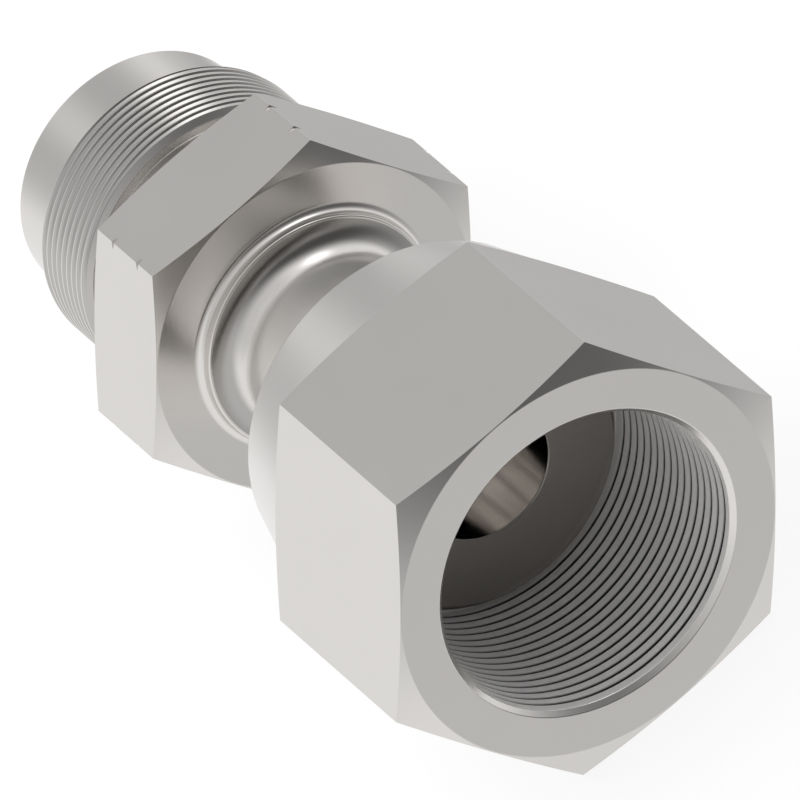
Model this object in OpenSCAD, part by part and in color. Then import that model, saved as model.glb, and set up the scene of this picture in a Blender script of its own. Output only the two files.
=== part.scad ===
// Straight swivel adapter for a hydraulic line: a turned body with a wrench hex and a threaded stud,
// and a swivel nut whose rear skirt is swaged down behind the head of the body's tail.
// The part lies on one flat of the nut, with its axis along X and the mouth of the nut towards +X.

/* [Swivel nut] */
// Width of the nut across its flats
nut_af = 65; // [62:0.5:75]
// Length of the nut's hexagon, with its chamfers
nut_hex_len = 37.6; // [34:0.1:50]
// Length of the swaged skirt behind the hexagon
skirt_len = 16.1; // [14:0.1:24]
// Step from the nut's flats down to the skirt where it leaves the hexagon
skirt_step = 0.2; // [0.2:0.1:3]
// Diameter of the skirt at its rear edge
skirt_end_d = 56.4; // [52:0.1:58]
// Thickness of the skirt's wall
skirt_wall = 8.9; // [6:0.1:9.5]
// Rounding of the skirt's rear edge
skirt_edge_r = 0.5; // [0.3:0.1:2]
// Nominal diameter of the nut's thread
nut_thread_d = 52; // [50:0.5:54]
// Pitch of the nut's thread
nut_pitch = 2; // [1:0.25:2.5]
// Depth of the threaded stretch, from the mouth of the nut
nut_thread_len = 31; // [24:0.1:32]
// Width of the relief groove between the thread and the guide bore
relief_len = 3.4; // [1:0.1:4]
// Step of the relief groove out from the thread's minor radius
relief_step = 0.5; // [0.2:0.05:1.2]
// Step of the mouth's rim in from the thread's nominal radius
mouth_inset = 0.25; // [0.05:0.05:0.4]
// Half angle of the countersink at the mouth
mouth_angle = 22; // [15:1:45]

/* [Tail of the body] */
// Diameter of the tail's head, which turns in the nut
head_d = 46.7; // [44:0.1:47]
// Length of the head's straight band
head_band_len = 4; // [3:0.1:6]
// Length of the head's tapered back, which the skirt bears on
head_back_len = 9; // [6:0.1:12]
// Height by which the head's face stands out of its guide bore, into the relief groove
head_reach = 3.3; // [0.6:0.1:4]
// Running gap between the head and the nut, on each side
swivel_gap = 0.3; // [0.2:0.05:0.4]
// Edge break of the sealing face
face_edge = 1; // [0.2:0.1:1.5]

/* [Neck] */
// Diameter of the neck
neck_d = 29.2; // [28:0.1:34]
// Length of neck between the nut's skirt and the collar of the hexagon
neck_len = 26.5; // [16:0.1:40]
// Fillet from the neck into the collar, and into the back of the head
neck_fillet = 4.5; // [1:0.1:4.7]
// Diameter of the raised collar on the hexagon's front face
collar_d = 39.2; // [38.6:0.1:44]
// Height of the raised collar
collar_h = 2.2; // [1.8:0.1:4]
// Fillet from the collar into the hexagon's face
collar_fillet = 1.4; // [0.5:0.1:1.6]
// Rounding of the collar's front edge
collar_edge_r = 0.3; // [0.1:0.05:0.4]

/* [Body hexagon] */
// Width of the body across its flats
body_af = 55; // [51:0.5:60]
// Length of the body's hexagon, with its chamfers
body_hex_len = 19; // [14:0.1:28]
// Angle of the chamfers on both hexagons, from the end faces
hex_chamfer = 15; // [10:1:30]
// Narrow land that the chamfer leaves outside each end face's circle
hex_land = 0.15; // [0.1:0.05:0.3]
// Distance between the two turned marks on the hexagon's corners
mark_spacing = 7.4; // [4:0.1:9]
// Depth of the marks below the corners
mark_depth = 0.5; // [0.2:0.05:0.8]
// Width of the marks at the corners
mark_width = 0.6; // [0.3:0.1:1.2]

/* [Stud] */
// Diameter of the undercut behind the stud's thread
undercut_d = 43.2; // [42:0.1:45]
// Length of the undercut
undercut_len = 8.3; // [4:0.1:14]
// Nominal diameter of the stud's thread
stud_thread_d = 48; // [46.5:0.5:49]
// Pitch of the stud's thread
stud_pitch = 1.5; // [1:0.25:2]
// Length of the stud's thread
stud_thread_len = 15.1; // [8:0.1:20]
// Diameter of the plain pilot in front of the thread
pilot_d = 41.5; // [36:0.1:42]
// Length of the pilot
pilot_len = 11.8; // [6:0.1:20]
// Edge break of the pilot's end
pilot_edge = 0.5; // [0.2:0.1:1]

/* [Flow bore] */
// Diameter of the bore through the body
bore_d = 22.2; // [16:0.1:24]
// Edge break of the bore at both ends
bore_edge = 0.4; // [0.2:0.1:0.8]

/* [Hidden] */
$fn = 96;
HEX = 6;
// A 60 degree thread cuts this share of its pitch out of each wall
THREAD_DEPTH = 0.5413;
// Depth by which the stud's end chamfers pass the root of the thread
chamfer_past = 0.2;
// Room by which a cutting shape passes through what it cuts
past = 1;
// Points on a quarter turn of a rounded edge
ARC_STEPS = 24;
BODY_COLOUR = [0.66, 0.64, 0.62];
NUT_COLOUR = [0.70, 0.68, 0.66];

// Stations along the axis, counted back from the mouth of the nut
guide_start = nut_thread_len + relief_len;
head_face = guide_start - head_reach;
head_band_end = head_face + head_band_len;
head_end = head_band_end + head_back_len;
skirt_end = nut_hex_len + skirt_len;
collar_face = skirt_end + neck_len;
hex_front = collar_face + collar_h;
hex_back = hex_front + body_hex_len;
stud_start = hex_back + undercut_len;
stud_end = stud_start + stud_thread_len;
body_end = stud_end + pilot_len;

// The nut's inner wall
nut_minor_r = nut_thread_d / 2 - THREAD_DEPTH * nut_pitch;
relief_r = nut_minor_r + relief_step;
mouth_r = nut_thread_d / 2 - mouth_inset;
mouth_depth = (mouth_r - nut_minor_r) / tan(mouth_angle);
guide_r = head_d / 2 + swivel_gap;
skirt_end_r = skirt_end_d / 2;
skirt_root_r = nut_af / 2 - skirt_step;
throat_r = skirt_end_r - skirt_wall;
guide_end = head_band_end + swivel_gap;

// The head's back runs along the inside of the skirt, at the running gap
skirt_slope = (guide_r - throat_r) / (skirt_end - guide_end);
head_end_r = head_d / 2 - skirt_slope * head_back_len;

// The stud's end chamfers run down past the root of its thread
stud_r = stud_thread_d / 2;
stud_chamfer = THREAD_DEPTH * stud_pitch + chamfer_past;

function hex_r(af) = af / 2 / cos(180 / HEX);

// Points on a rounded edge, from straight out to straight back along the axis
function edge_arc(centre, r) =
    [for (i = [0:ARC_STEPS]) let (a = 90 * i / ARC_STEPS) centre + r * [cos(a), sin(a)]];

// Half section of a hexagon's two chamfers, from the axis outwards
module chamfer_section(af, len) {
    face_r = af / 2 - hex_land;
    rim_r = hex_r(af) + past;
    drop = (rim_r - face_r) * tan(hex_chamfer);
    polygon([[0, 0], [face_r, 0], [rim_r, drop], [rim_r, len - drop], [face_r, len], [0, len]]);
}

// Hexagonal bar with its corners turned off at both ends
module wrench_hex(af, len) {
    intersection() {
        rotate([0, 0, 180 / HEX]) cylinder(h = len, r = hex_r(af), $fn = HEX);
        rotate_extrude() chamfer_section(af, len);
    }
}

// Quarter ring that fills the corner between a shaft and a face
module corner_fill(shaft_r, fillet) {
    difference() {
        translate([shaft_r - past, 0]) square([fillet + past, fillet]);
        translate([shaft_r + fillet, fillet]) circle(r = fillet);
    }
}

// A V groove, turned at a given radius
module mark_section(rim_r) {
    half = (mark_depth + past) * mark_width / mark_depth / 2;
    polygon([[rim_r - mark_depth, 0], [rim_r + past, half], [rim_r + past, -half]]);
}

module tail_section() {
    head_r = head_d / 2;
    polygon([
        [0, head_face],
        [head_r - face_edge, head_face],
        [head_r, head_face + face_edge],
        [head_r, head_band_end],
        [head_end_r, head_end],
        [0, head_end]
    ]);
    translate([0, head_end - past]) square([neck_d / 2, collar_face - head_end + 2 * past]);
    translate([0, head_end]) corner_fill(neck_d / 2, min(neck_fillet, head_end_r - neck_d / 2));
}

module collar_section() {
    collar_r = collar_d / 2;
    difference() {
        translate([0, collar_face]) square([collar_r, collar_h + past]);
        translate([collar_r - collar_edge_r, collar_face - past]) square(collar_edge_r + past);
    }
    translate([collar_r - collar_edge_r, collar_face + collar_edge_r]) circle(r = collar_edge_r);
    translate([0, hex_front]) mirror([0, 1]) corner_fill(collar_r, collar_fillet);
    translate([0, collar_face]) mirror([0, 1])
        corner_fill(neck_d / 2, min(neck_fillet, collar_r - collar_edge_r - neck_d / 2));
}

module stud_section() {
    pilot_r = pilot_d / 2;
    translate([0, hex_back - past]) square([undercut_d / 2, undercut_len + 2 * past]);
    polygon([
        [0, stud_start],
        [stud_r - stud_chamfer, stud_start],
        [stud_r, stud_start + stud_chamfer],
        [stud_r, stud_end - stud_chamfer],
        [stud_r - stud_chamfer, stud_end],
        [0, stud_end]
    ]);
    polygon([
        [0, stud_end - past],
        [pilot_r, stud_end - past],
        [pilot_r, body_end - pilot_edge],
        [pilot_r - pilot_edge, body_end],
        [0, body_end]
    ]);
}

// The bore, opened by its edge breaks
module flow_bore() {
    len = body_end - head_face;
    translate([0, 0, head_face - past]) cylinder(h = len + 2 * past, r = bore_d / 2);
    translate([0, 0, head_face - past])
        cylinder(h = past + bore_edge, r1 = bore_d / 2 + past + bore_edge, r2 = bore_d / 2);
    translate([0, 0, body_end - bore_edge])
        cylinder(h = past + bore_edge, r1 = bore_d / 2, r2 = bore_d / 2 + past + bore_edge);
}

// From distances behind the nut's mouth to the part's own frame
module in_place() {
    translate([body_end / 2, 0, nut_af / 2]) rotate([0, -90, 0]) children();
}

// Turned body: tail head, neck, collar, wrench hexagon and stud in one piece
module fitting_body() {
    color(BODY_COLOUR) in_place() difference() {
        union() {
            rotate_extrude() {
                tail_section();
                collar_section();
            }
            translate([0, 0, hex_front]) wrench_hex(body_af, body_hex_len);
            rotate_extrude() stud_section();
        }
        for (side = [-1, 1])
            translate([0, 0, hex_front + body_hex_len / 2 + side * mark_spacing / 2])
                rotate_extrude() mark_section(hex_r(body_af));
        flow_bore();
    }
}

// The nut's outer turned skirt, solid through to the axis
module skirt_section() {
    polygon(concat(
        [[0, nut_hex_len - past], [skirt_root_r, nut_hex_len - past], [skirt_root_r, nut_hex_len]],
        edge_arc([skirt_end_r - skirt_edge_r, skirt_end - skirt_edge_r], skirt_edge_r),
        [[0, skirt_end]]
    ));
}

// Everything that is cut out of the nut
module nut_hollow_section() {
    polygon([
        [0, -past],
        [mouth_r + past * tan(mouth_angle), -past],
        [nut_minor_r, mouth_depth],
        [nut_minor_r, nut_thread_len],
        [relief_r, nut_thread_len],
        [relief_r, guide_start],
        [guide_r, guide_start],
        [guide_r, guide_end],
        [throat_r - skirt_slope * past, skirt_end + past],
        [0, skirt_end + past]
    ]);
}

// Swivel nut: hexagon, inner thread bore, relief, guide bore and swaged skirt in one piece
module swivel_nut() {
    color(NUT_COLOUR) in_place() difference() {
        union() {
            wrench_hex(nut_af, nut_hex_len);
            rotate_extrude() skirt_section();
        }
        rotate_extrude() nut_hollow_section();
    }
}

fitting_body();
swivel_nut();
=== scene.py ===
"""Straight swivel adapter for a hydraulic line, turned from hexagon bar and plated bright.

The axis of the adapter runs along X, with the mouth of the nut towards +X. Each piece is turned and
milled about the X axis first and lifted to the height of its axis at the end. Stations are counted
backwards from the mouth of the nut.
"""
import math
from collections import namedtuple
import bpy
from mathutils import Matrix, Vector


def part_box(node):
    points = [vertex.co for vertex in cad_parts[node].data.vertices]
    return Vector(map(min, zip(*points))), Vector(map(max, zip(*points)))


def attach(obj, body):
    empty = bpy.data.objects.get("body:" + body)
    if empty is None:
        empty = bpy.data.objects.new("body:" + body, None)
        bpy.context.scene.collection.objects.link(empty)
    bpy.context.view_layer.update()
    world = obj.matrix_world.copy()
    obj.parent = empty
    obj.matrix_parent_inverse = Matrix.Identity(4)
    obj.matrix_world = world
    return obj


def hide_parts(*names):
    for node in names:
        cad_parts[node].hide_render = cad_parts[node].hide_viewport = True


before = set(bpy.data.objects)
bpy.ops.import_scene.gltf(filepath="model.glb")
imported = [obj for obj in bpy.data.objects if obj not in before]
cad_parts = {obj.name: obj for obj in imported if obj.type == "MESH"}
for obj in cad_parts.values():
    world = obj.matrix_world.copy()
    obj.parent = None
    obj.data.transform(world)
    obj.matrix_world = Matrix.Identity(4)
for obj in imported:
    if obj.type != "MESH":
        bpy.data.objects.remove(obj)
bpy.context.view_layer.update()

from types import SimpleNamespace

import bpy
from bpy.props import FloatProperty, FloatVectorProperty, PointerProperty
from bpy.types import Operator, Panel, PropertyGroup
from mathutils import Matrix, Vector

bl_info = {
    "name": "Swivel Adapter",
    "version": (1, 0, 0),
    "blender": (4, 5, 0),
    "location": "View3D > Sidebar > Adapter",
    "description": "Models a straight swivel adapter with its union nut, plating and studio",
    "category": "Add Mesh",
}

NUT_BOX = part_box("swivel_nut")
BODY_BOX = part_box("fitting_body")

MM = 0.001
MOUTH_X = NUT_BOX[1][0]
AXIS_Z = NUT_BOX[1][2] / 2
HEX = 6
TURN_STEPS = 128
ARC_STEPS = 8
MERGE = 1e-7
# What lies this close to a cut or a limit counts as on it
NEAR = 0.02 * MM
# A face whose normal leans less than this along the axis is parallel to the axis
LEAN = 0.01
# An edge sharper than this shows as an edge; a flatter one is part of a rounded form
EDGE_ANGLE = math.radians(12)
# Room by which a tool runs out of the metal that it cuts
RUN_OUT = 0.5 * MM
# Blanks stand this much proud of the corners that the flats are milled down to
STOCK = 0.4 * MM
# Outer radius of the ring that mills the flats, in radii of the hexagon's corners
MILL_REACH = 1.3
# Depth of an inner metric thread from its nominal to its minor radius, in pitches
MINOR_DEPTH = 0.5413

# Form of a drawn thread groove. Its depth and both widths are shares of the pitch. The tool is
# open_width wide where it stands proud of the metal, and each corner of its root loses root_break of
# the root's width, in root_steps steps.
Groove = namedtuple("Groove", "depth open_width root_width root_break root_steps proud")
STUD_GROOVE = Groove(depth=0.33, open_width=0.94, root_width=0.37, root_break=0.45, root_steps=1,
                     proud=0.03 * MM)
NUT_GROOVE = Groove(depth=0.36, open_width=0.40, root_width=0.32, root_break=0.49, root_steps=5,
                    proud=0.05 * MM)
# From the middle of the nut's last groove to its guide bore, in pitches
NUT_THREAD_GAP = 0.4

# Scales of the tool marks: per metre along the axis or out from it, and per radian round it
RING_LINES, RING_SWAY = 9000, 1.5
BAR_LINES, BAR_LENGTH = 220, 60
BORE_STREAKS, BORE_LENGTH = 9, 15
# Noise of the tool marks and of the clouds in the plating, whose scale is per metre
MARK_DETAIL = 3.0
CLOUD_DETAIL = 2.0
CLOUD_SCALE = 55.0
# How far the noise makes the tint and the gloss stray, and the tool marks' height at full grain
TINT_SWAY = 0.03
MARK_GLOSS = 0.015
CLOUD_GLOSS = 0.012
MARK_HEIGHT = 0.02 * MM
# Values between which most of the noise lies
NOISE_RANGE = (0.3, 0.7)
# Share of the tool marks' height that the sealing face has
SEAL_GRAIN = 0.4
# Where the fillet's shade begins and is full, in shares of the fillet's radius out from the neck
NECK_SHADE_START, NECK_SHADE_END = 0.16, 0.4
# Depths below the stud's crests between which its grooves get their shade
STUD_SHADE_START, STUD_SHADE_END = 0.02 * MM, 0.08 * MM
# Depths between which the nut's grooves get theirs: a length, and a share of the pitch
NUT_SHADE_START, NUT_SHADE_END = 0.02 * MM, 0.18

# Directions of the picture's right and up in the scene, worked out from the photograph
PICTURE_RIGHT = (0.5, 0.75, -0.4330)
PICTURE_UP = (-0.4330, 0.6495, 0.625)
SENSOR_WIDTH = 36
# The camera sees this many times as far as it stands from its target
SIGHT = 4
# Room between the floor and the flat that lies on it
FLOOR_GAP = 0.05 * MM
FLOOR_SIDES = 64
FLOOR_ROUGHNESS = 0.9
LAMP_PLACE = (-0.25, -0.35, 0.9)
LAMP_SIZE = 0.7
LAMP_POWER = 7.0
# What stands in the white studio: direction, outer and inner reach in degrees, and its level
CARDS = (
    ((0.88, 0.38, 0.15), 70, 25, 0.13),
    ((0.05, -0.60, 0.80), 60, 30, 0.68),
    ((0.00, 0.66, 0.75), 22, 5, 2.30),
    ((0.35, 0.10, -0.93), 27, 15, 0.87),
    ((0.45, 0.65, -0.61), 22, 8, 0.87),
    ((-0.75, -0.58, 0.32), 34, 5, 0.64),
    ((-0.95, -0.32, -0.01), 24, 3, 0.68),
    ((-0.75, 0.30, 0.59), 36, 5, 0.62),
    ((-0.96, 0.25, 0.15), 24, 3, 0.64),
    ((-0.75, 0.62, -0.24), 30, 8, 0.67),
    ((-0.80, 0.45, -0.40), 24, 4, 0.75),
    ((-0.75, 0.05, 0.66), 60, 10, 0.85),
)


def length(name, description, millimetres):
    """Size in the sidebar, shown in scene units."""
    return FloatProperty(name=name, description=description, default=millimetres * MM,
                         unit="LENGTH", precision=5)


def colour(name, description, default):
    """Colour in the sidebar."""
    return FloatVectorProperty(name=name, description=description, default=default,
                               subtype="COLOR", size=3, min=0, max=1)


def amount(name, description, default, top=1.0):
    """Plain number in the sidebar."""
    return FloatProperty(name=name, description=description, default=default, min=0, max=top)


def angle(name, description, degrees):
    """Angle in the sidebar."""
    return FloatProperty(name=name, description=description, default=math.radians(degrees),
                         subtype="ANGLE")


class NutSettings(PropertyGroup):
    """Sizes of the swivel nut"""
    flats: length("Across Flats", "Width of the hexagon across its flats", 65)
    hex_length: length("Hexagon Length", "Length of the hexagon with its chamfers", 37.6)
    skirt_length: length("Skirt Length", "Length of the swaged skirt behind the hexagon", 16.1)
    skirt_end: length("Skirt End Radius", "Outer radius of the skirt at its rear edge", 28.2)
    skirt_edge: length("Skirt Edge Radius", "Rounding of the skirt's rear edge", 0.5)
    throat: length("Throat Radius", "Inner radius of the skirt at its rear edge", 19.3)
    guide: length("Guide Radius", "Radius of the bore that the body's head turns in", 23.65)
    guide_start: length("Guide Start", "Station where the guide bore begins", 34.4)
    guide_end: length("Guide End", "Station where the guide bore turns into the skirt's taper", 35.4)
    thread_radius: length("Thread Radius", "Nominal radius of the inner thread", 26)
    thread_pitch: length("Thread Pitch", "Pitch of the inner thread", 2)
    mouth: length("Mouth Radius", "Radius of the countersink's rim", 25.75)
    mouth_angle: angle("Mouth Angle", "Half angle of the countersink at the mouth", 45)


class BodySettings(PropertyGroup):
    """Sizes of the turned body"""
    head: length("Head Radius", "Radius of the head that the nut holds", 23.35)
    head_band: length("Head Band", "Length of the head's straight band", 4)
    head_back: length("Head Back", "Length of the head's tapered back", 9)
    head_end: length("Head End Radius", "Radius at the small end of the tapered back", 21.21)
    face_edge: length("Face Edge", "Edge break of the sealing face", 1)
    neck: length("Neck Radius", "Radius of the neck", 14.6)
    neck_fillet: length("Neck Fillet", "Fillet at both ends of the neck", 4.5)
    neck_length: length("Neck Length", "Stretch of neck between the skirt and the collar", 26.5)
    collar: length("Collar Radius", "Radius of the raised collar", 19.6)
    collar_height: length("Collar Height", "Height of the raised collar", 2.2)
    collar_fillet: length("Collar Fillet", "Fillet from the collar into the hexagon's face", 1.4)
    collar_edge: length("Collar Edge", "Rounding of the collar's front edge", 0.3)
    flats: length("Across Flats", "Width of the hexagon across its flats", 55)
    hex_length: length("Hexagon Length", "Length of the hexagon with its chamfers", 19)
    mark_spacing: length("Mark Spacing", "Distance between the two turned marks", 7.4)
    mark_depth: length("Mark Depth", "Depth of the marks below the corners", 0.65)
    mark_width: length("Mark Width", "Width of the marks at the corners", 0.75)
    undercut: length("Undercut Radius", "Radius of the undercut behind the stud's thread", 21.6)
    undercut_length: length("Undercut Length", "Length of the undercut", 8.3)
    stud: length("Stud Radius", "Nominal radius of the stud's thread", 24)
    stud_pitch: length("Stud Pitch", "Pitch of the stud's thread", 1.5)
    stud_length: length("Stud Length", "Length of the stud's thread", 15.1)
    stud_chamfer: length("Stud Chamfer", "Chamfer at both ends of the stud's thread", 1.012)
    pilot: length("Pilot Radius", "Radius of the plain pilot", 20.75)
    pilot_edge: length("Pilot Edge", "Edge break of the pilot's end", 0.5)
    bore: length("Bore Radius", "Radius of the flow bore", 11.1)
    bore_edge: length("Bore Edge", "Edge break of the bore at both ends", 0.15)


class CutSettings(PropertyGroup):
    """Sizes that both pieces share"""
    hex_chamfer: angle("Hexagon Chamfer", "Angle of the hexagons' chamfers from their faces", 15)
    hex_land: length("Hexagon Land", "Land between a face's circle and its flats", 0.15)
    edge_break: length("Edge Break", "Break of every turned edge", 0.08)
    corner_break: length("Corner Break", "Rounding of the hexagons' long corners", 0.06)


class FinishSettings(PropertyGroup):
    """Colours and gloss of the plating"""
    body_colour: colour("Body Colour", "Colour of the plating on the body", (0.715, 0.695, 0.675))
    nut_colour: colour("Nut Colour", "Colour of the plating on the nut", (0.715, 0.695, 0.675))
    turned_roughness: amount("Turned Roughness", "Roughness of the turned surfaces", 0.20)
    milled_roughness: amount("Milled Roughness", "Roughness of the hexagons' flats", 0.24)
    neck_metal: amount("Neck Metal", "How much of the neck is mirror-like, the rest scatters", 0.82)
    neck_roughness: amount("Neck Roughness", "Roughness of the neck", 0.22)
    fillet_shade: amount("Fillet Shade", "Shade left on the outer part of the neck's fillet", 0.58)
    thread_metal: amount("Thread Metal", "How much of the nut's thread is mirror-like", 0.05)
    thread_roughness: amount("Thread Roughness", "Roughness of the nut's thread", 0.40)
    # The thread's near-white tint is painted light: it scatters the studio's real light in place of the
    # reflections that plated metal shows
    thread_lit_colour: colour("Thread Colour", "Colour of the nut's thread", (0.93, 0.915, 0.90))
    root_shade: amount("Root Shade", "Shade left in the roots of the nut's thread", 0.03)
    stud_shade: amount("Stud Shade", "Shade left in the roots of the stud's thread", 0.68)
    bore_colour: colour("Bore Colour", "Colour of the honed flow bore", (0.73, 0.71, 0.69))
    bore_roughness: amount("Bore Roughness", "Roughness of the honed flow bore", 0.10)
    # The sealing face's dark tint is painted shade: it stands in for the shade that falls on it inside the
    # nut
    seal_shade_colour: colour("Seal Colour", "Colour of the dark sealing face", (0.37, 0.35, 0.33))
    seal_roughness: amount("Seal Roughness", "Roughness of the sealing face", 0.24)
    seal_metal: amount("Seal Metal", "How much of the sealing face is mirror-like", 0.8)
    grain: amount("Grain", "Height of the tool marks", 0.05)


class StageSettings(PropertyGroup):
    """Camera, floor and lights"""
    target: length("Camera Target", "Station on the axis that the camera looks at", 56.46)
    view_width: length("View Width", "Width of the view at the target", 120.66)
    # Beyond about 1700 mm the views from other sides stand too far off to show the adapter
    lens: FloatProperty(name="Lens", description="Focal length of the very long lens", default=1680,
                        min=1, unit="CAMERA")
    floor_radius: FloatProperty(name="Floor Radius", description="Radius of the pale floor",
                                default=6, min=1, unit="LENGTH")
    floor_colour: colour("Floor Colour", "Colour of the floor", (0.9, 0.9, 0.9))
    floor_lift: amount("Floor Lift", "Share of the floor that shows as plain white", 0.88)
    studio_level: amount("Studio Level", "Light of the white studio", 1.0, 10)


def deselect_all():
    """Leaves edit mode and selects nothing."""
    if bpy.context.object and bpy.context.object.mode != "OBJECT":
        bpy.ops.object.mode_set(mode="OBJECT")
    bpy.ops.object.select_all(action="DESELECT")


def take(piece):
    """Selects one piece alone and makes it active."""
    deselect_all()
    piece.select_set(True)
    bpy.context.view_layer.objects.active = piece


def edit(kind):
    """Enters edit mode to work on vertices, edges or faces."""
    kinds = ("VERTICES", "EDGES", "FACES")
    bpy.context.tool_settings.mesh_select_mode = [kind == each for each in kinds]
    bpy.ops.object.mode_set(mode="EDIT")


def corner_radius(flats):
    """Radius of a hexagon's corners."""
    return flats / 2 / math.cos(math.pi / HEX)


def arc(station, radius, size, start, end):
    """Points on an arc of the outline, turned from the angle start to end, in degrees.

    Angle 0 points outwards from the axis and 90 backwards along it.
    """
    turns = [math.radians(start + (end - start) * i / ARC_STEPS) for i in range(ARC_STEPS + 1)]
    return [(station + size * math.sin(turn), radius + size * math.cos(turn)) for turn in turns]


def turned(name, outline, steps=TURN_STEPS):
    """Ring round the X axis: a circle, extruded and resized from point to point of a closed outline.

    The outline's points are stations behind the mouth and radii.
    """
    deselect_all()
    station, radius = outline[0]
    bpy.ops.mesh.primitive_circle_add(vertices=steps, radius=radius,
                                      location=(MOUTH_X - station, 0, 0),
                                      rotation=(0, math.pi / 2, 0))
    piece = bpy.context.object
    piece.name = piece.data.name = name
    bpy.ops.object.transform_apply(location=True, rotation=True, scale=True)
    edit("EDGES")
    for next_station, next_radius in outline[1:] + outline[:1]:
        ratio = next_radius / radius
        bpy.ops.mesh.extrude_region_move(
            TRANSFORM_OT_translate={"value": (station - next_station, 0, 0)})
        bpy.ops.transform.resize(value=(1, ratio, ratio),
                                 center_override=(MOUTH_X - next_station, 0, 0))
        station, radius = next_station, next_radius
    bpy.ops.mesh.select_all(action="SELECT")
    bpy.ops.mesh.remove_doubles(threshold=MERGE)
    bpy.ops.mesh.normals_make_consistent(inside=False)
    bpy.ops.object.mode_set(mode="OBJECT")
    return piece


def select_edges(piece, wanted):
    """Enters edit mode with only the edges selected whose two ends pass the test."""
    take(piece)
    mesh = piece.data
    for group in (mesh.vertices, mesh.edges, mesh.polygons):
        group.foreach_set("select", [False] * len(group))
    for edge in mesh.edges:
        edge.select = wanted(*(mesh.vertices[i].co for i in edge.vertices))
    edit("EDGES")


def break_turned_edges(piece, width):
    """Bevels every sharp ring of a turned blank."""
    take(piece)
    edit("EDGES")
    bpy.ops.mesh.select_all(action="DESELECT")
    bpy.ops.mesh.edges_select_sharp(sharpness=EDGE_ANGLE)
    bpy.ops.mesh.bevel(offset=width, segments=2, affect="EDGES", clamp_overlap=True)
    bpy.ops.object.mode_set(mode="OBJECT")


def cut(piece, tool):
    """Cuts the tool out of the piece and clears the tool away."""
    take(piece)
    bpy.ops.object.modifier_add(type="BOOLEAN")
    step = piece.modifiers[-1]
    step.operation = "DIFFERENCE"
    step.solver = "EXACT"
    step.object = tool
    bpy.ops.object.modifier_apply(modifier=step.name)
    take(tool)
    bpy.ops.object.delete()


def mill_flats(piece, front, back, flats, corner_break):
    """Mills six flats on a turned blank between two stations: a ring with a hexagonal hole cuts it."""
    corner = corner_radius(flats)
    rim = MILL_REACH * corner
    tool = turned("flats_tool", [(front, corner), (front, rim), (back, rim), (back, corner)], HEX)
    select_edges(tool, lambda a, b: abs(a.x - b.x) > (back - front) / 2
                 and math.hypot(a.y, a.z) < (corner + rim) / 2)
    bpy.ops.mesh.bevel(offset=corner_break, segments=3, affect="EDGES")
    cut(piece, tool)


def cut_thread(piece, surface, outwards, start, turns, pitch, groove):
    """Cuts a right-hand thread: a plane is narrowed at the root, broken there and swept by Screw.

    The surface is the radius of the metal that is cut. Outwards is 1 for a thread inside a bore and -1
    for one on the outside.
    """
    deselect_all()
    open_radius = surface - outwards * groove.proud
    root_radius = surface + outwards * groove.depth * pitch
    open_width, root_width = groove.open_width * pitch, groove.root_width * pitch
    middle = (open_radius + root_radius) / 2
    bpy.ops.mesh.primitive_plane_add(size=1, location=(MOUTH_X - start, 0, middle),
                                     rotation=(math.pi / 2, 0, 0))
    tool = bpy.context.object
    bpy.ops.transform.resize(value=(open_width, 1, abs(open_radius - root_radius)))
    bpy.ops.object.transform_apply(location=True, rotation=True, scale=True)
    select_edges(tool, lambda a, b: max(abs(a.z - root_radius), abs(b.z - root_radius)) < NEAR)
    narrow = root_width / open_width
    bpy.ops.transform.resize(value=(narrow, 1, 1), center_override=(MOUTH_X - start, 0, root_radius))
    bpy.ops.mesh.bevel(offset=groove.root_break * root_width, segments=groove.root_steps,
                       affect="VERTICES")
    bpy.ops.mesh.select_all(action="SELECT")
    bpy.ops.mesh.delete(type="ONLY_FACE")
    bpy.ops.object.mode_set(mode="OBJECT")
    bpy.ops.object.modifier_add(type="SCREW")
    sweep = tool.modifiers[-1]
    sweep.axis = "X"
    sweep.angle = -2 * math.pi
    sweep.screw_offset = -pitch
    sweep.iterations = turns
    sweep.steps = sweep.render_steps = TURN_STEPS
    sweep.use_normal_calculate = True
    bpy.ops.object.modifier_apply(modifier=sweep.name)
    edit("EDGES")
    bpy.ops.mesh.select_all(action="SELECT")
    bpy.ops.mesh.fill_holes(sides=0)
    bpy.ops.mesh.normals_make_consistent(inside=False)
    # Half a step further round, the groove's points stand between the blank's
    half_step = math.pi / TURN_STEPS
    bpy.ops.transform.rotate(value=half_step, orient_axis="X", center_override=(0, 0, 0))
    bpy.ops.object.mode_set(mode="OBJECT")
    cut(piece, tool)


def everywhere(face):
    """Test that every face passes."""
    return True


def on_flats(flats):
    """Test for the faces on a hexagon's flats."""
    def test(face):
        reach = face.center.dot(face.normal)
        return abs(face.normal.x) < LEAN and abs(reach - flats / 2) < NEAR
    return test


def turned_between(front, back, radius=math.inf):
    """Test for the faces between two stations that lie within a radius."""
    return lambda face: (front < MOUTH_X - face.center.x < back
                         and math.hypot(face.center.y, face.center.z) < radius + NEAR)


def finish_piece(piece, finishes):
    """Puts each finish on the faces that pass its test, shades crisply and lifts the piece to its place."""
    take(piece)
    for finish, test in finishes:
        bpy.ops.object.material_slot_add()
        piece.active_material = finish
        for face in piece.data.polygons:
            face.select = test(face)
        edit("FACES")
        bpy.ops.object.material_slot_assign()
        bpy.ops.object.mode_set(mode="OBJECT")
    bpy.ops.object.shade_smooth_by_angle(angle=EDGE_ANGLE)
    bpy.ops.object.modifier_add(type="WEIGHTED_NORMAL")
    piece.modifiers[-1].keep_sharp = True
    bpy.ops.object.modifier_apply(modifier=piece.modifiers[-1].name)
    bpy.ops.transform.translate(value=(0, 0, AXIS_Z))
    bpy.ops.object.transform_apply(location=True, rotation=True, scale=True)


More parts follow.
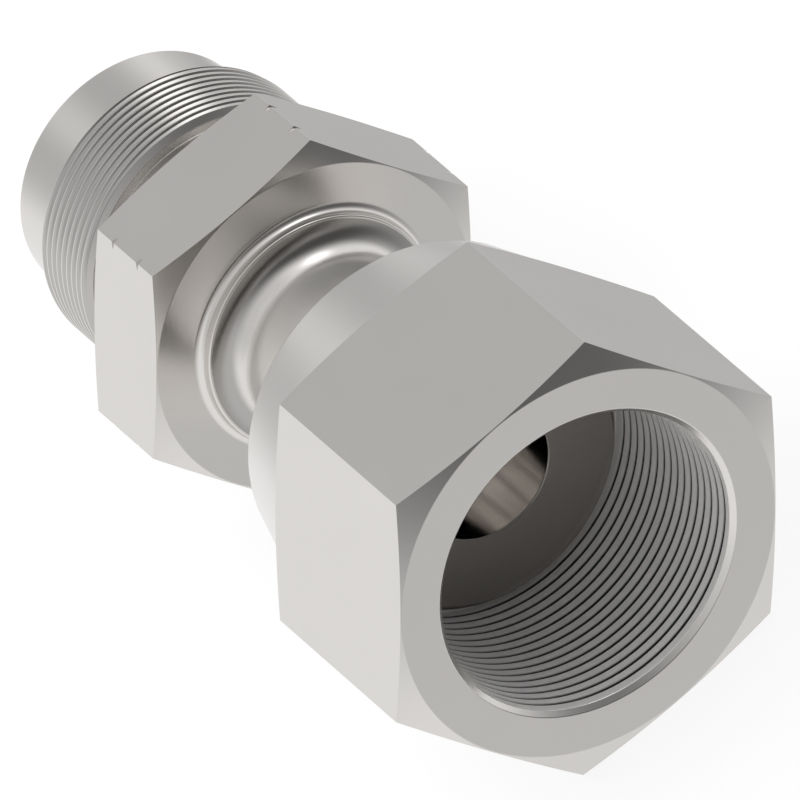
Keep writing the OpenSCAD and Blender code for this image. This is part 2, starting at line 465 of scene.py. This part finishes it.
def hexagon_outline(front, long, flats, cuts, marks=()):
    """Turned outline of a hexagon's blank: both chamfers, and any marks between them."""
    rim = corner_radius(flats) + STOCK
    face = flats / 2 - cuts.hex_land
    drop = (rim - face) * math.tan(cuts.hex_chamfer)
    return [(front, face), (front + drop, rim), *marks, (front + long - drop, rim),
            (front + long, face)]


def nut_mouth(nut):
    """Minor radius of the nut's thread, and depth of the countersink that leads down to it."""
    minor = nut.thread_radius - MINOR_DEPTH * nut.thread_pitch
    return minor, (nut.mouth - minor) / math.tan(nut.mouth_angle)


def nut_outline(nut, cuts):
    """Closed half section of the nut, before its flats and its thread are cut."""
    minor, mouth_depth = nut_mouth(nut)
    end = nut.hex_length + nut.skirt_length
    edge = nut.skirt_edge
    return [
        (0, nut.mouth),
        *hexagon_outline(0, nut.hex_length, nut.flats, cuts),
        *arc(end - edge, nut.skirt_end - edge, edge, 0, 90),
        (end, nut.throat),
        (nut.guide_end, nut.guide),
        (nut.guide_start, nut.guide),
        (nut.guide_start, minor),
        (mouth_depth, minor),
    ]


def body_stations(body, nut):
    """Stations of the body's steps, from the sealing face back to the pilot's end."""
    at = SimpleNamespace(face=MOUTH_X - BODY_BOX[1][0], end=MOUTH_X - BODY_BOX[0][0])
    at.band_end = at.face + body.head_band
    at.neck = at.band_end + body.head_back
    at.collar = nut.hex_length + nut.skirt_length + body.neck_length
    at.hex_front = at.collar + body.collar_height
    at.hex_back = at.hex_front + body.hex_length
    at.stud = at.hex_back + body.undercut_length
    at.stud_end = at.stud + body.stud_length
    return at


def body_outline(body, cuts, at):
    """Closed half section of the body, before its flats and its thread are cut."""
    fillet = body.neck_fillet
    rim = corner_radius(body.flats)
    slope = body.mark_width / body.mark_depth / 2
    marks = []
    for side in (-1, 1):
        station = at.hex_front + body.hex_length / 2 + side * body.mark_spacing / 2
        half = slope * (body.mark_depth + STOCK)
        marks += [(station - half, rim + STOCK), (station, rim - body.mark_depth),
                  (station + half, rim + STOCK)]
    return [
        (at.face + body.bore_edge, body.bore),
        (at.face, body.bore + body.bore_edge),
        (at.face, body.head - body.face_edge),
        (at.face + body.face_edge, body.head),
        (at.band_end, body.head),
        (at.neck, body.head_end),
        *arc(at.neck + fillet, body.neck + fillet, fillet, -90, -180),
        *arc(at.collar - fillet, body.neck + fillet, fillet, 180, 90),
        *arc(at.collar + body.collar_edge, body.collar - body.collar_edge, body.collar_edge, -90, 0),
        *arc(at.hex_front - body.collar_fillet, body.collar + body.collar_fillet,
             body.collar_fillet, 180, 90),
        *hexagon_outline(at.hex_front, body.hex_length, body.flats, cuts, marks),
        (at.hex_back, body.undercut),
        (at.stud, body.undercut),
        (at.stud, body.stud - body.stud_chamfer),
        (at.stud + body.stud_chamfer, body.stud),
        (at.stud_end - body.stud_chamfer, body.stud),
        (at.stud_end, body.stud - body.stud_chamfer),
        (at.stud_end, body.pilot),
        (at.end - body.pilot_edge, body.pilot),
        (at.end, body.pilot - body.pilot_edge),
        (at.end, body.bore + body.bore_edge),
        (at.end - body.bore_edge, body.bore),
    ]


def feed(tree, value, socket):
    """Feeds a number or another socket into a socket."""
    if isinstance(value, bpy.types.NodeSocket):
        tree.links.new(value, socket)
    else:
        socket.default_value = value


def math_node(tree, operation, *values):
    """Math node fed by numbers or sockets; returns its result."""
    node = tree.nodes.new("ShaderNodeMath")
    node.operation = operation
    for socket, value in zip(node.inputs, values):
        feed(tree, value, socket)
    return node.outputs[0]


def axial_coordinates(tree):
    """Distance along the axis, distance from it and angle round it, in metres and radians."""
    place = tree.nodes.new("ShaderNodeTexCoord").outputs["Object"]
    split = tree.nodes.new("ShaderNodeSeparateXYZ")
    feed(tree, place, split.inputs[0])
    side = split.outputs["Y"]
    height = math_node(tree, "SUBTRACT", split.outputs["Z"], AXIS_Z)
    radius = math_node(tree, "SQRT", math_node(
        tree, "ADD", math_node(tree, "MULTIPLY", side, side),
        math_node(tree, "MULTIPLY", height, height)))
    return split.outputs["X"], radius, math_node(tree, "ARCTAN2", height, side)


def stretched(tree, *parts):
    """Coordinates for a noise: up to three parts, each a socket and its scale."""
    join = tree.nodes.new("ShaderNodeCombineXYZ")
    for socket, (value, scale) in zip(join.inputs, parts):
        feed(tree, math_node(tree, "MULTIPLY", value, scale), socket)
    return join.outputs[0]


def noise(tree, place, scale, detail):
    """Soft noise between 0 and 1."""
    node = tree.nodes.new("ShaderNodeTexNoise")
    node.inputs["Scale"].default_value = scale
    node.inputs["Detail"].default_value = detail
    feed(tree, place, node.inputs["Vector"])
    return node.outputs["Fac"]


def change(tree, value, start, end, low, high, course="SMOOTHSTEP"):
    """Goes from low, where the value is start, to high, where it is end."""
    node = tree.nodes.new("ShaderNodeMapRange")
    node.interpolation_type = course
    for name, number in (("From Min", start), ("From Max", end), ("To Min", low), ("To Max", high)):
        node.inputs[name].default_value = number
    feed(tree, value, node.inputs["Value"])
    return node.outputs["Result"]


def sway(tree, pattern, middle, reach):
    """Value that strays from its middle by about the reach, as the noise does."""
    return change(tree, pattern, *NOISE_RANGE, middle - reach, middle + reach, "LINEAR")


def by_radius(start, end, low, high):
    """Value that changes softly with the distance from the axis."""
    return lambda tree: change(tree, axial_coordinates(tree)[1], start, end, low, high)


def even(value):
    """Value that is the same everywhere."""
    return lambda tree: value


def steel(name, tint, roughness, marks_place, grain, metal=even(1.0), shade=even(1.0)):
    """Bright plated steel; marks_place gives the coordinates that its tool marks follow.

    Metal is the share that mirrors and shade darkens the tint, both from place to place.
    """
    material = bpy.data.materials.new(name)
    material.use_nodes = True
    tree = material.node_tree
    shader = tree.nodes["Principled BSDF"]
    feed(tree, metal(tree), shader.inputs["Metallic"])
    place = tree.nodes.new("ShaderNodeTexCoord").outputs["Object"]
    marks = noise(tree, marks_place(tree), 1.0, MARK_DETAIL)
    cloud = noise(tree, place, CLOUD_SCALE, CLOUD_DETAIL)
    uneven = tree.nodes.new("ShaderNodeMix")
    uneven.data_type = "RGBA"
    uneven.inputs["A"].default_value = (*((1 - TINT_SWAY) * part for part in tint), 1)
    uneven.inputs["B"].default_value = (*(min((1 + TINT_SWAY) * part, 1) for part in tint), 1)
    feed(tree, cloud, uneven.inputs["Factor"])
    shaded = tree.nodes.new("ShaderNodeVectorMath")
    shaded.operation = "SCALE"
    feed(tree, uneven.outputs["Result"], shaded.inputs[0])
    feed(tree, shade(tree), shaded.inputs["Scale"])
    feed(tree, shaded.outputs[0], shader.inputs["Base Color"])
    gloss = math_node(tree, "ADD", sway(tree, marks, roughness, MARK_GLOSS),
                      sway(tree, cloud, 0, CLOUD_GLOSS))
    feed(tree, gloss, shader.inputs["Roughness"])
    bump = tree.nodes.new("ShaderNodeBump")
    bump.inputs["Strength"].default_value = grain
    bump.inputs["Distance"].default_value = MARK_HEIGHT
    feed(tree, marks, bump.inputs["Height"])
    feed(tree, bump.outputs["Normal"], shader.inputs["Normal"])
    return material


def turning_marks(tree):
    """Fine rings round the axis, a little uneven along each ring."""
    along, radius, turn = axial_coordinates(tree)
    return stretched(tree, (along, RING_LINES), (radius, RING_LINES), (turn, RING_SWAY))


def drawing_marks(tree):
    """Fine lines along the flats, as on drawn hexagon bar."""
    along, radius, turn = axial_coordinates(tree)
    return stretched(tree, (along, BAR_LENGTH), (turn, BAR_LINES), (radius, BAR_LENGTH))


def bore_marks(tree):
    """Soft streaks along the bore."""
    along, radius, turn = axial_coordinates(tree)
    return stretched(tree, (along, BORE_LENGTH), (turn, BORE_STREAKS))


class ADAPTER_OT_body(Operator):
    """Turns the body, mills its flats and marks, and cuts the stud's thread"""
    bl_idname = "adapter.body"
    bl_label = "Adapter Body"

    def finishes(self, body, finish, at):
        """Each finish of the body, with the test for the faces that have it."""
        tint, grain = finish.body_colour, finish.grain
        fillet_edge = body.neck + body.neck_fillet
        shade_start = body.neck + NECK_SHADE_START * body.neck_fillet
        shade_end = body.neck + NECK_SHADE_END * body.neck_fillet
        neck_metal = by_radius(body.neck, shade_end, finish.neck_metal, 1.0)
        neck_shade = by_radius(shade_start, shade_end, 1.0, finish.fillet_shade)
        stud_shade = by_radius(body.stud - STUD_SHADE_END, body.stud - STUD_SHADE_START,
                               finish.stud_shade, 1.0)
        return (
            (steel("body_turned", tint, finish.turned_roughness, turning_marks, grain), everywhere),
            (steel("body_flats", tint, finish.milled_roughness, drawing_marks, grain),
             on_flats(body.flats)),
            (steel("neck", tint, finish.neck_roughness, turning_marks, grain, neck_metal, neck_shade),
             turned_between(at.neck, at.collar, fillet_edge)),
            (steel("stud_thread", tint, finish.turned_roughness, turning_marks, grain,
                   shade=stud_shade), turned_between(at.stud, at.stud_end)),
            # Dark copy of the plating on the sealing face: painted shade for the shade inside the nut
            (steel("sealing_face", finish.seal_shade_colour, finish.seal_roughness, turning_marks,
                   SEAL_GRAIN * grain, even(finish.seal_metal)),
             turned_between(0, at.face + body.face_edge)),
            (steel("bore", finish.bore_colour, finish.bore_roughness, bore_marks, grain),
             turned_between(0, math.inf, body.bore)),
        )

    def execute(self, context):
        body, nut = context.scene.adapter_body, context.scene.adapter_nut
        cuts, finish = context.scene.adapter_cuts, context.scene.adapter_finish
        at = body_stations(body, nut)
        piece = turned("adapter_body", body_outline(body, cuts, at))
        break_turned_edges(piece, cuts.edge_break)
        mill_flats(piece, at.hex_front - RUN_OUT, at.hex_back + RUN_OUT, body.flats,
                   cuts.corner_break)
        # The groove starts one turn before the thread and ends at least one turn behind it
        pitch = body.stud_pitch
        turns = math.ceil((body.stud_length + 2 * pitch) / pitch)
        cut_thread(piece, body.stud, -1, at.stud - pitch, turns, pitch, STUD_GROOVE)
        finish_piece(piece, self.finishes(body, finish, at))
        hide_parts("fitting_body")
        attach(piece, "body")
        return {"FINISHED"}


class ADAPTER_OT_nut(Operator):
    """Turns the swivel nut with its swaged skirt, mills its flats and cuts its inner thread"""
    bl_idname = "adapter.nut"
    bl_label = "Swivel Nut"

    def execute(self, context):
        nut, cuts = context.scene.adapter_nut, context.scene.adapter_cuts
        finish = context.scene.adapter_finish
        piece = turned("union_nut", nut_outline(nut, cuts))
        break_turned_edges(piece, cuts.edge_break)
        mill_flats(piece, -RUN_OUT, nut.hex_length + RUN_OUT, nut.flats, cuts.corner_break)
        # Whole turns, of which the last ends just before the guide bore
        pitch = nut.thread_pitch
        turns = math.floor(nut.guide_start / pitch - 1)
        start = nut.guide_start - NUT_THREAD_GAP * pitch - turns * pitch
        minor, mouth_depth = nut_mouth(nut)
        cut_thread(piece, minor, 1, start, turns, pitch, NUT_GROOVE)
        tint, grain = finish.nut_colour, finish.grain
        root_shade = by_radius(minor + NUT_SHADE_START, minor + NUT_SHADE_END * pitch, 1.0,
                               finish.root_shade)
        finish_piece(piece, (
            (steel("nut_turned", tint, finish.turned_roughness, turning_marks, grain), everywhere),
            (steel("nut_flats", tint, finish.milled_roughness, drawing_marks, grain),
             on_flats(nut.flats)),
            # Lit copy of the plating on the nut's thread: its near-white tint is painted light standing in
            # for the studio's reflections
            (steel("nut_thread", finish.thread_lit_colour, finish.thread_roughness, turning_marks, grain,
                   even(finish.thread_metal), root_shade),
             turned_between(mouth_depth, nut.guide_start, nut.thread_radius)),
        ))
        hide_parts("swivel_nut")
        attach(piece, "nut")
        return {"FINISHED"}


def card(tree, direction, place, outer, inner, level):
    """Share of the studio's light round a card with a soft edge: 1 beside it, its level on it."""
    dot = tree.nodes.new("ShaderNodeVectorMath")
    dot.operation = "DOT_PRODUCT"
    dot.inputs[1].default_value = Vector(place).normalized()
    feed(tree, direction, dot.inputs[0])
    reach = math_node(tree, "ARCCOSINE", dot.outputs["Value"])
    return change(tree, reach, math.radians(outer), math.radians(inner), 1.0, level)


def studio_world(level):
    """White studio all round; the metal also shows the grey cards and the soft box in it."""
    world = bpy.data.worlds.new("studio")
    world.use_nodes = True
    bpy.context.scene.world = world
    tree = world.node_tree
    direction = tree.nodes.new("ShaderNodeTexCoord").outputs["Generated"]
    light = level
    for each in CARDS:
        light = math_node(tree, "MULTIPLY", card(tree, direction, *each), light)
    rays = tree.nodes.new("ShaderNodeLightPath")
    seen = math_node(tree, "MAXIMUM", rays.outputs["Is Camera Ray"],
                     rays.outputs["Is Transmission Ray"])
    backdrop = tree.nodes.new("ShaderNodeMix")
    backdrop.inputs["B"].default_value = 1.0
    feed(tree, seen, backdrop.inputs["Factor"])
    feed(tree, light, backdrop.inputs["A"])
    white = tree.nodes["Background"]
    white.inputs["Color"].default_value = (1, 1, 1, 1)
    feed(tree, backdrop.outputs["Result"], white.inputs["Strength"])


def pale_floor(stage):
    """Pale floor that shows as white with the adapter's soft shadow."""
    deselect_all()
    bpy.ops.mesh.primitive_circle_add(vertices=FLOOR_SIDES, radius=stage.floor_radius, fill_type="NGON",
                                      location=(0, 0, -FLOOR_GAP))
    floor = bpy.context.object
    floor.name = floor.data.name = "pale_floor"
    bpy.ops.object.transform_apply(location=True, rotation=True, scale=True)
    material = bpy.data.materials.new("pale_floor")
    material.use_nodes = True
    tree = material.node_tree
    shader = tree.nodes["Principled BSDF"]
    shader.inputs["Base Color"].default_value = (*stage.floor_colour, 1)
    shader.inputs["Roughness"].default_value = FLOOR_ROUGHNESS
    lift = tree.nodes.new("ShaderNodeEmission")
    lift.inputs["Color"].default_value = (1, 1, 1, 1)
    rays = tree.nodes.new("ShaderNodeLightPath")
    mix = tree.nodes.new("ShaderNodeMixShader")
    feed(tree, math_node(tree, "MULTIPLY", rays.outputs["Is Camera Ray"], stage.floor_lift),
         mix.inputs[0])
    feed(tree, shader.outputs[0], mix.inputs[1])
    feed(tree, lift.outputs[0], mix.inputs[2])
    feed(tree, mix.outputs[0], tree.nodes["Material Output"].inputs["Surface"])
    floor.data.materials.append(material)
    floor.visible_glossy = False


def top_lamp():
    """Large soft lamp above the adapter that lays its shadow on the floor."""
    deselect_all()
    bpy.ops.object.light_add(type="AREA", location=LAMP_PLACE)
    lamp = bpy.context.object
    lamp.name = lamp.data.name = "top_lamp"
    lamp.data.shape = "DISK"
    lamp.data.size = LAMP_SIZE
    lamp.data.energy = LAMP_POWER
    lamp.rotation_euler = Vector(lamp.location).to_track_quat("Z", "Y").to_euler()
    lamp.visible_glossy = False


def photo_camera(stage):
    """Camera of a catalogue view: a very long lens, high on the mouth's side and rolled."""
    right, up = Vector(PICTURE_RIGHT), Vector(PICTURE_UP)
    back = right.cross(up).normalized()
    up = back.cross(right).normalized()
    right.normalize()
    data = bpy.data.cameras.new("catalogue_camera")
    camera = bpy.data.objects.new("catalogue_camera", data)
    bpy.context.collection.objects.link(camera)
    data.sensor_width = SENSOR_WIDTH
    data.lens = stage.lens
    distance = stage.view_width * stage.lens / data.sensor_width
    data.clip_end = SIGHT * distance
    place = Vector((MOUTH_X - stage.target, 0, AXIS_Z)) + distance * back
    camera.matrix_world = Matrix.Translation(place) @ Matrix((right, up, back)).transposed().to_4x4()
    bpy.context.scene.camera = camera


class ADAPTER_OT_stage(Operator):
    """Sets the floor, the world, the lamp and the camera"""
    bl_idname = "adapter.stage"
    bl_label = "Stage"

    def execute(self, context):
        stage = context.scene.adapter_stage
        context.scene.view_settings.view_transform = "Standard"
        pale_floor(stage)
        studio_world(stage.studio_level)
        top_lamp()
        photo_camera(stage)
        return {"FINISHED"}


class ADAPTER_PT_panel(Panel):
    """Sizes, finishes and steps of the adapter"""
    bl_idname = "ADAPTER_PT_panel"
    bl_label = "Swivel Adapter"
    bl_space_type = "VIEW_3D"
    bl_region_type = "UI"
    bl_category = "Adapter"

    def draw(self, context):
        for key in SETTINGS:
            group = getattr(context.scene, key)
            box = self.layout.box()
            box.label(text=type(group).__doc__)
            for name in group.__annotations__:
                box.prop(group, name)
        for step in STEPS:
            self.layout.operator(step.bl_idname)


SETTINGS = {
    "adapter_body": BodySettings,
    "adapter_nut": NutSettings,
    "adapter_cuts": CutSettings,
    "adapter_finish": FinishSettings,
    "adapter_stage": StageSettings,
}
STEPS = (ADAPTER_OT_body, ADAPTER_OT_nut, ADAPTER_OT_stage)


def register():
    """Registers the settings, the steps and the panel."""
    for key, group in SETTINGS.items():
        bpy.utils.register_class(group)
        setattr(bpy.types.Scene, key, PointerProperty(type=group))
    for step in (*STEPS, ADAPTER_PT_panel):
        bpy.utils.register_class(step)


def unregister():
    """Takes everything back out of Blender."""
    for step in (ADAPTER_PT_panel, *reversed(STEPS)):
        bpy.utils.unregister_class(step)
    for key, group in SETTINGS.items():
        delattr(bpy.types.Scene, key)
        bpy.utils.unregister_class(group)


def main():
    """Builds the adapter and its stage."""
    register()
    bpy.ops.adapter.body()
    bpy.ops.adapter.nut()
    bpy.ops.adapter.stage()


if __name__ == "__main__":
    main()
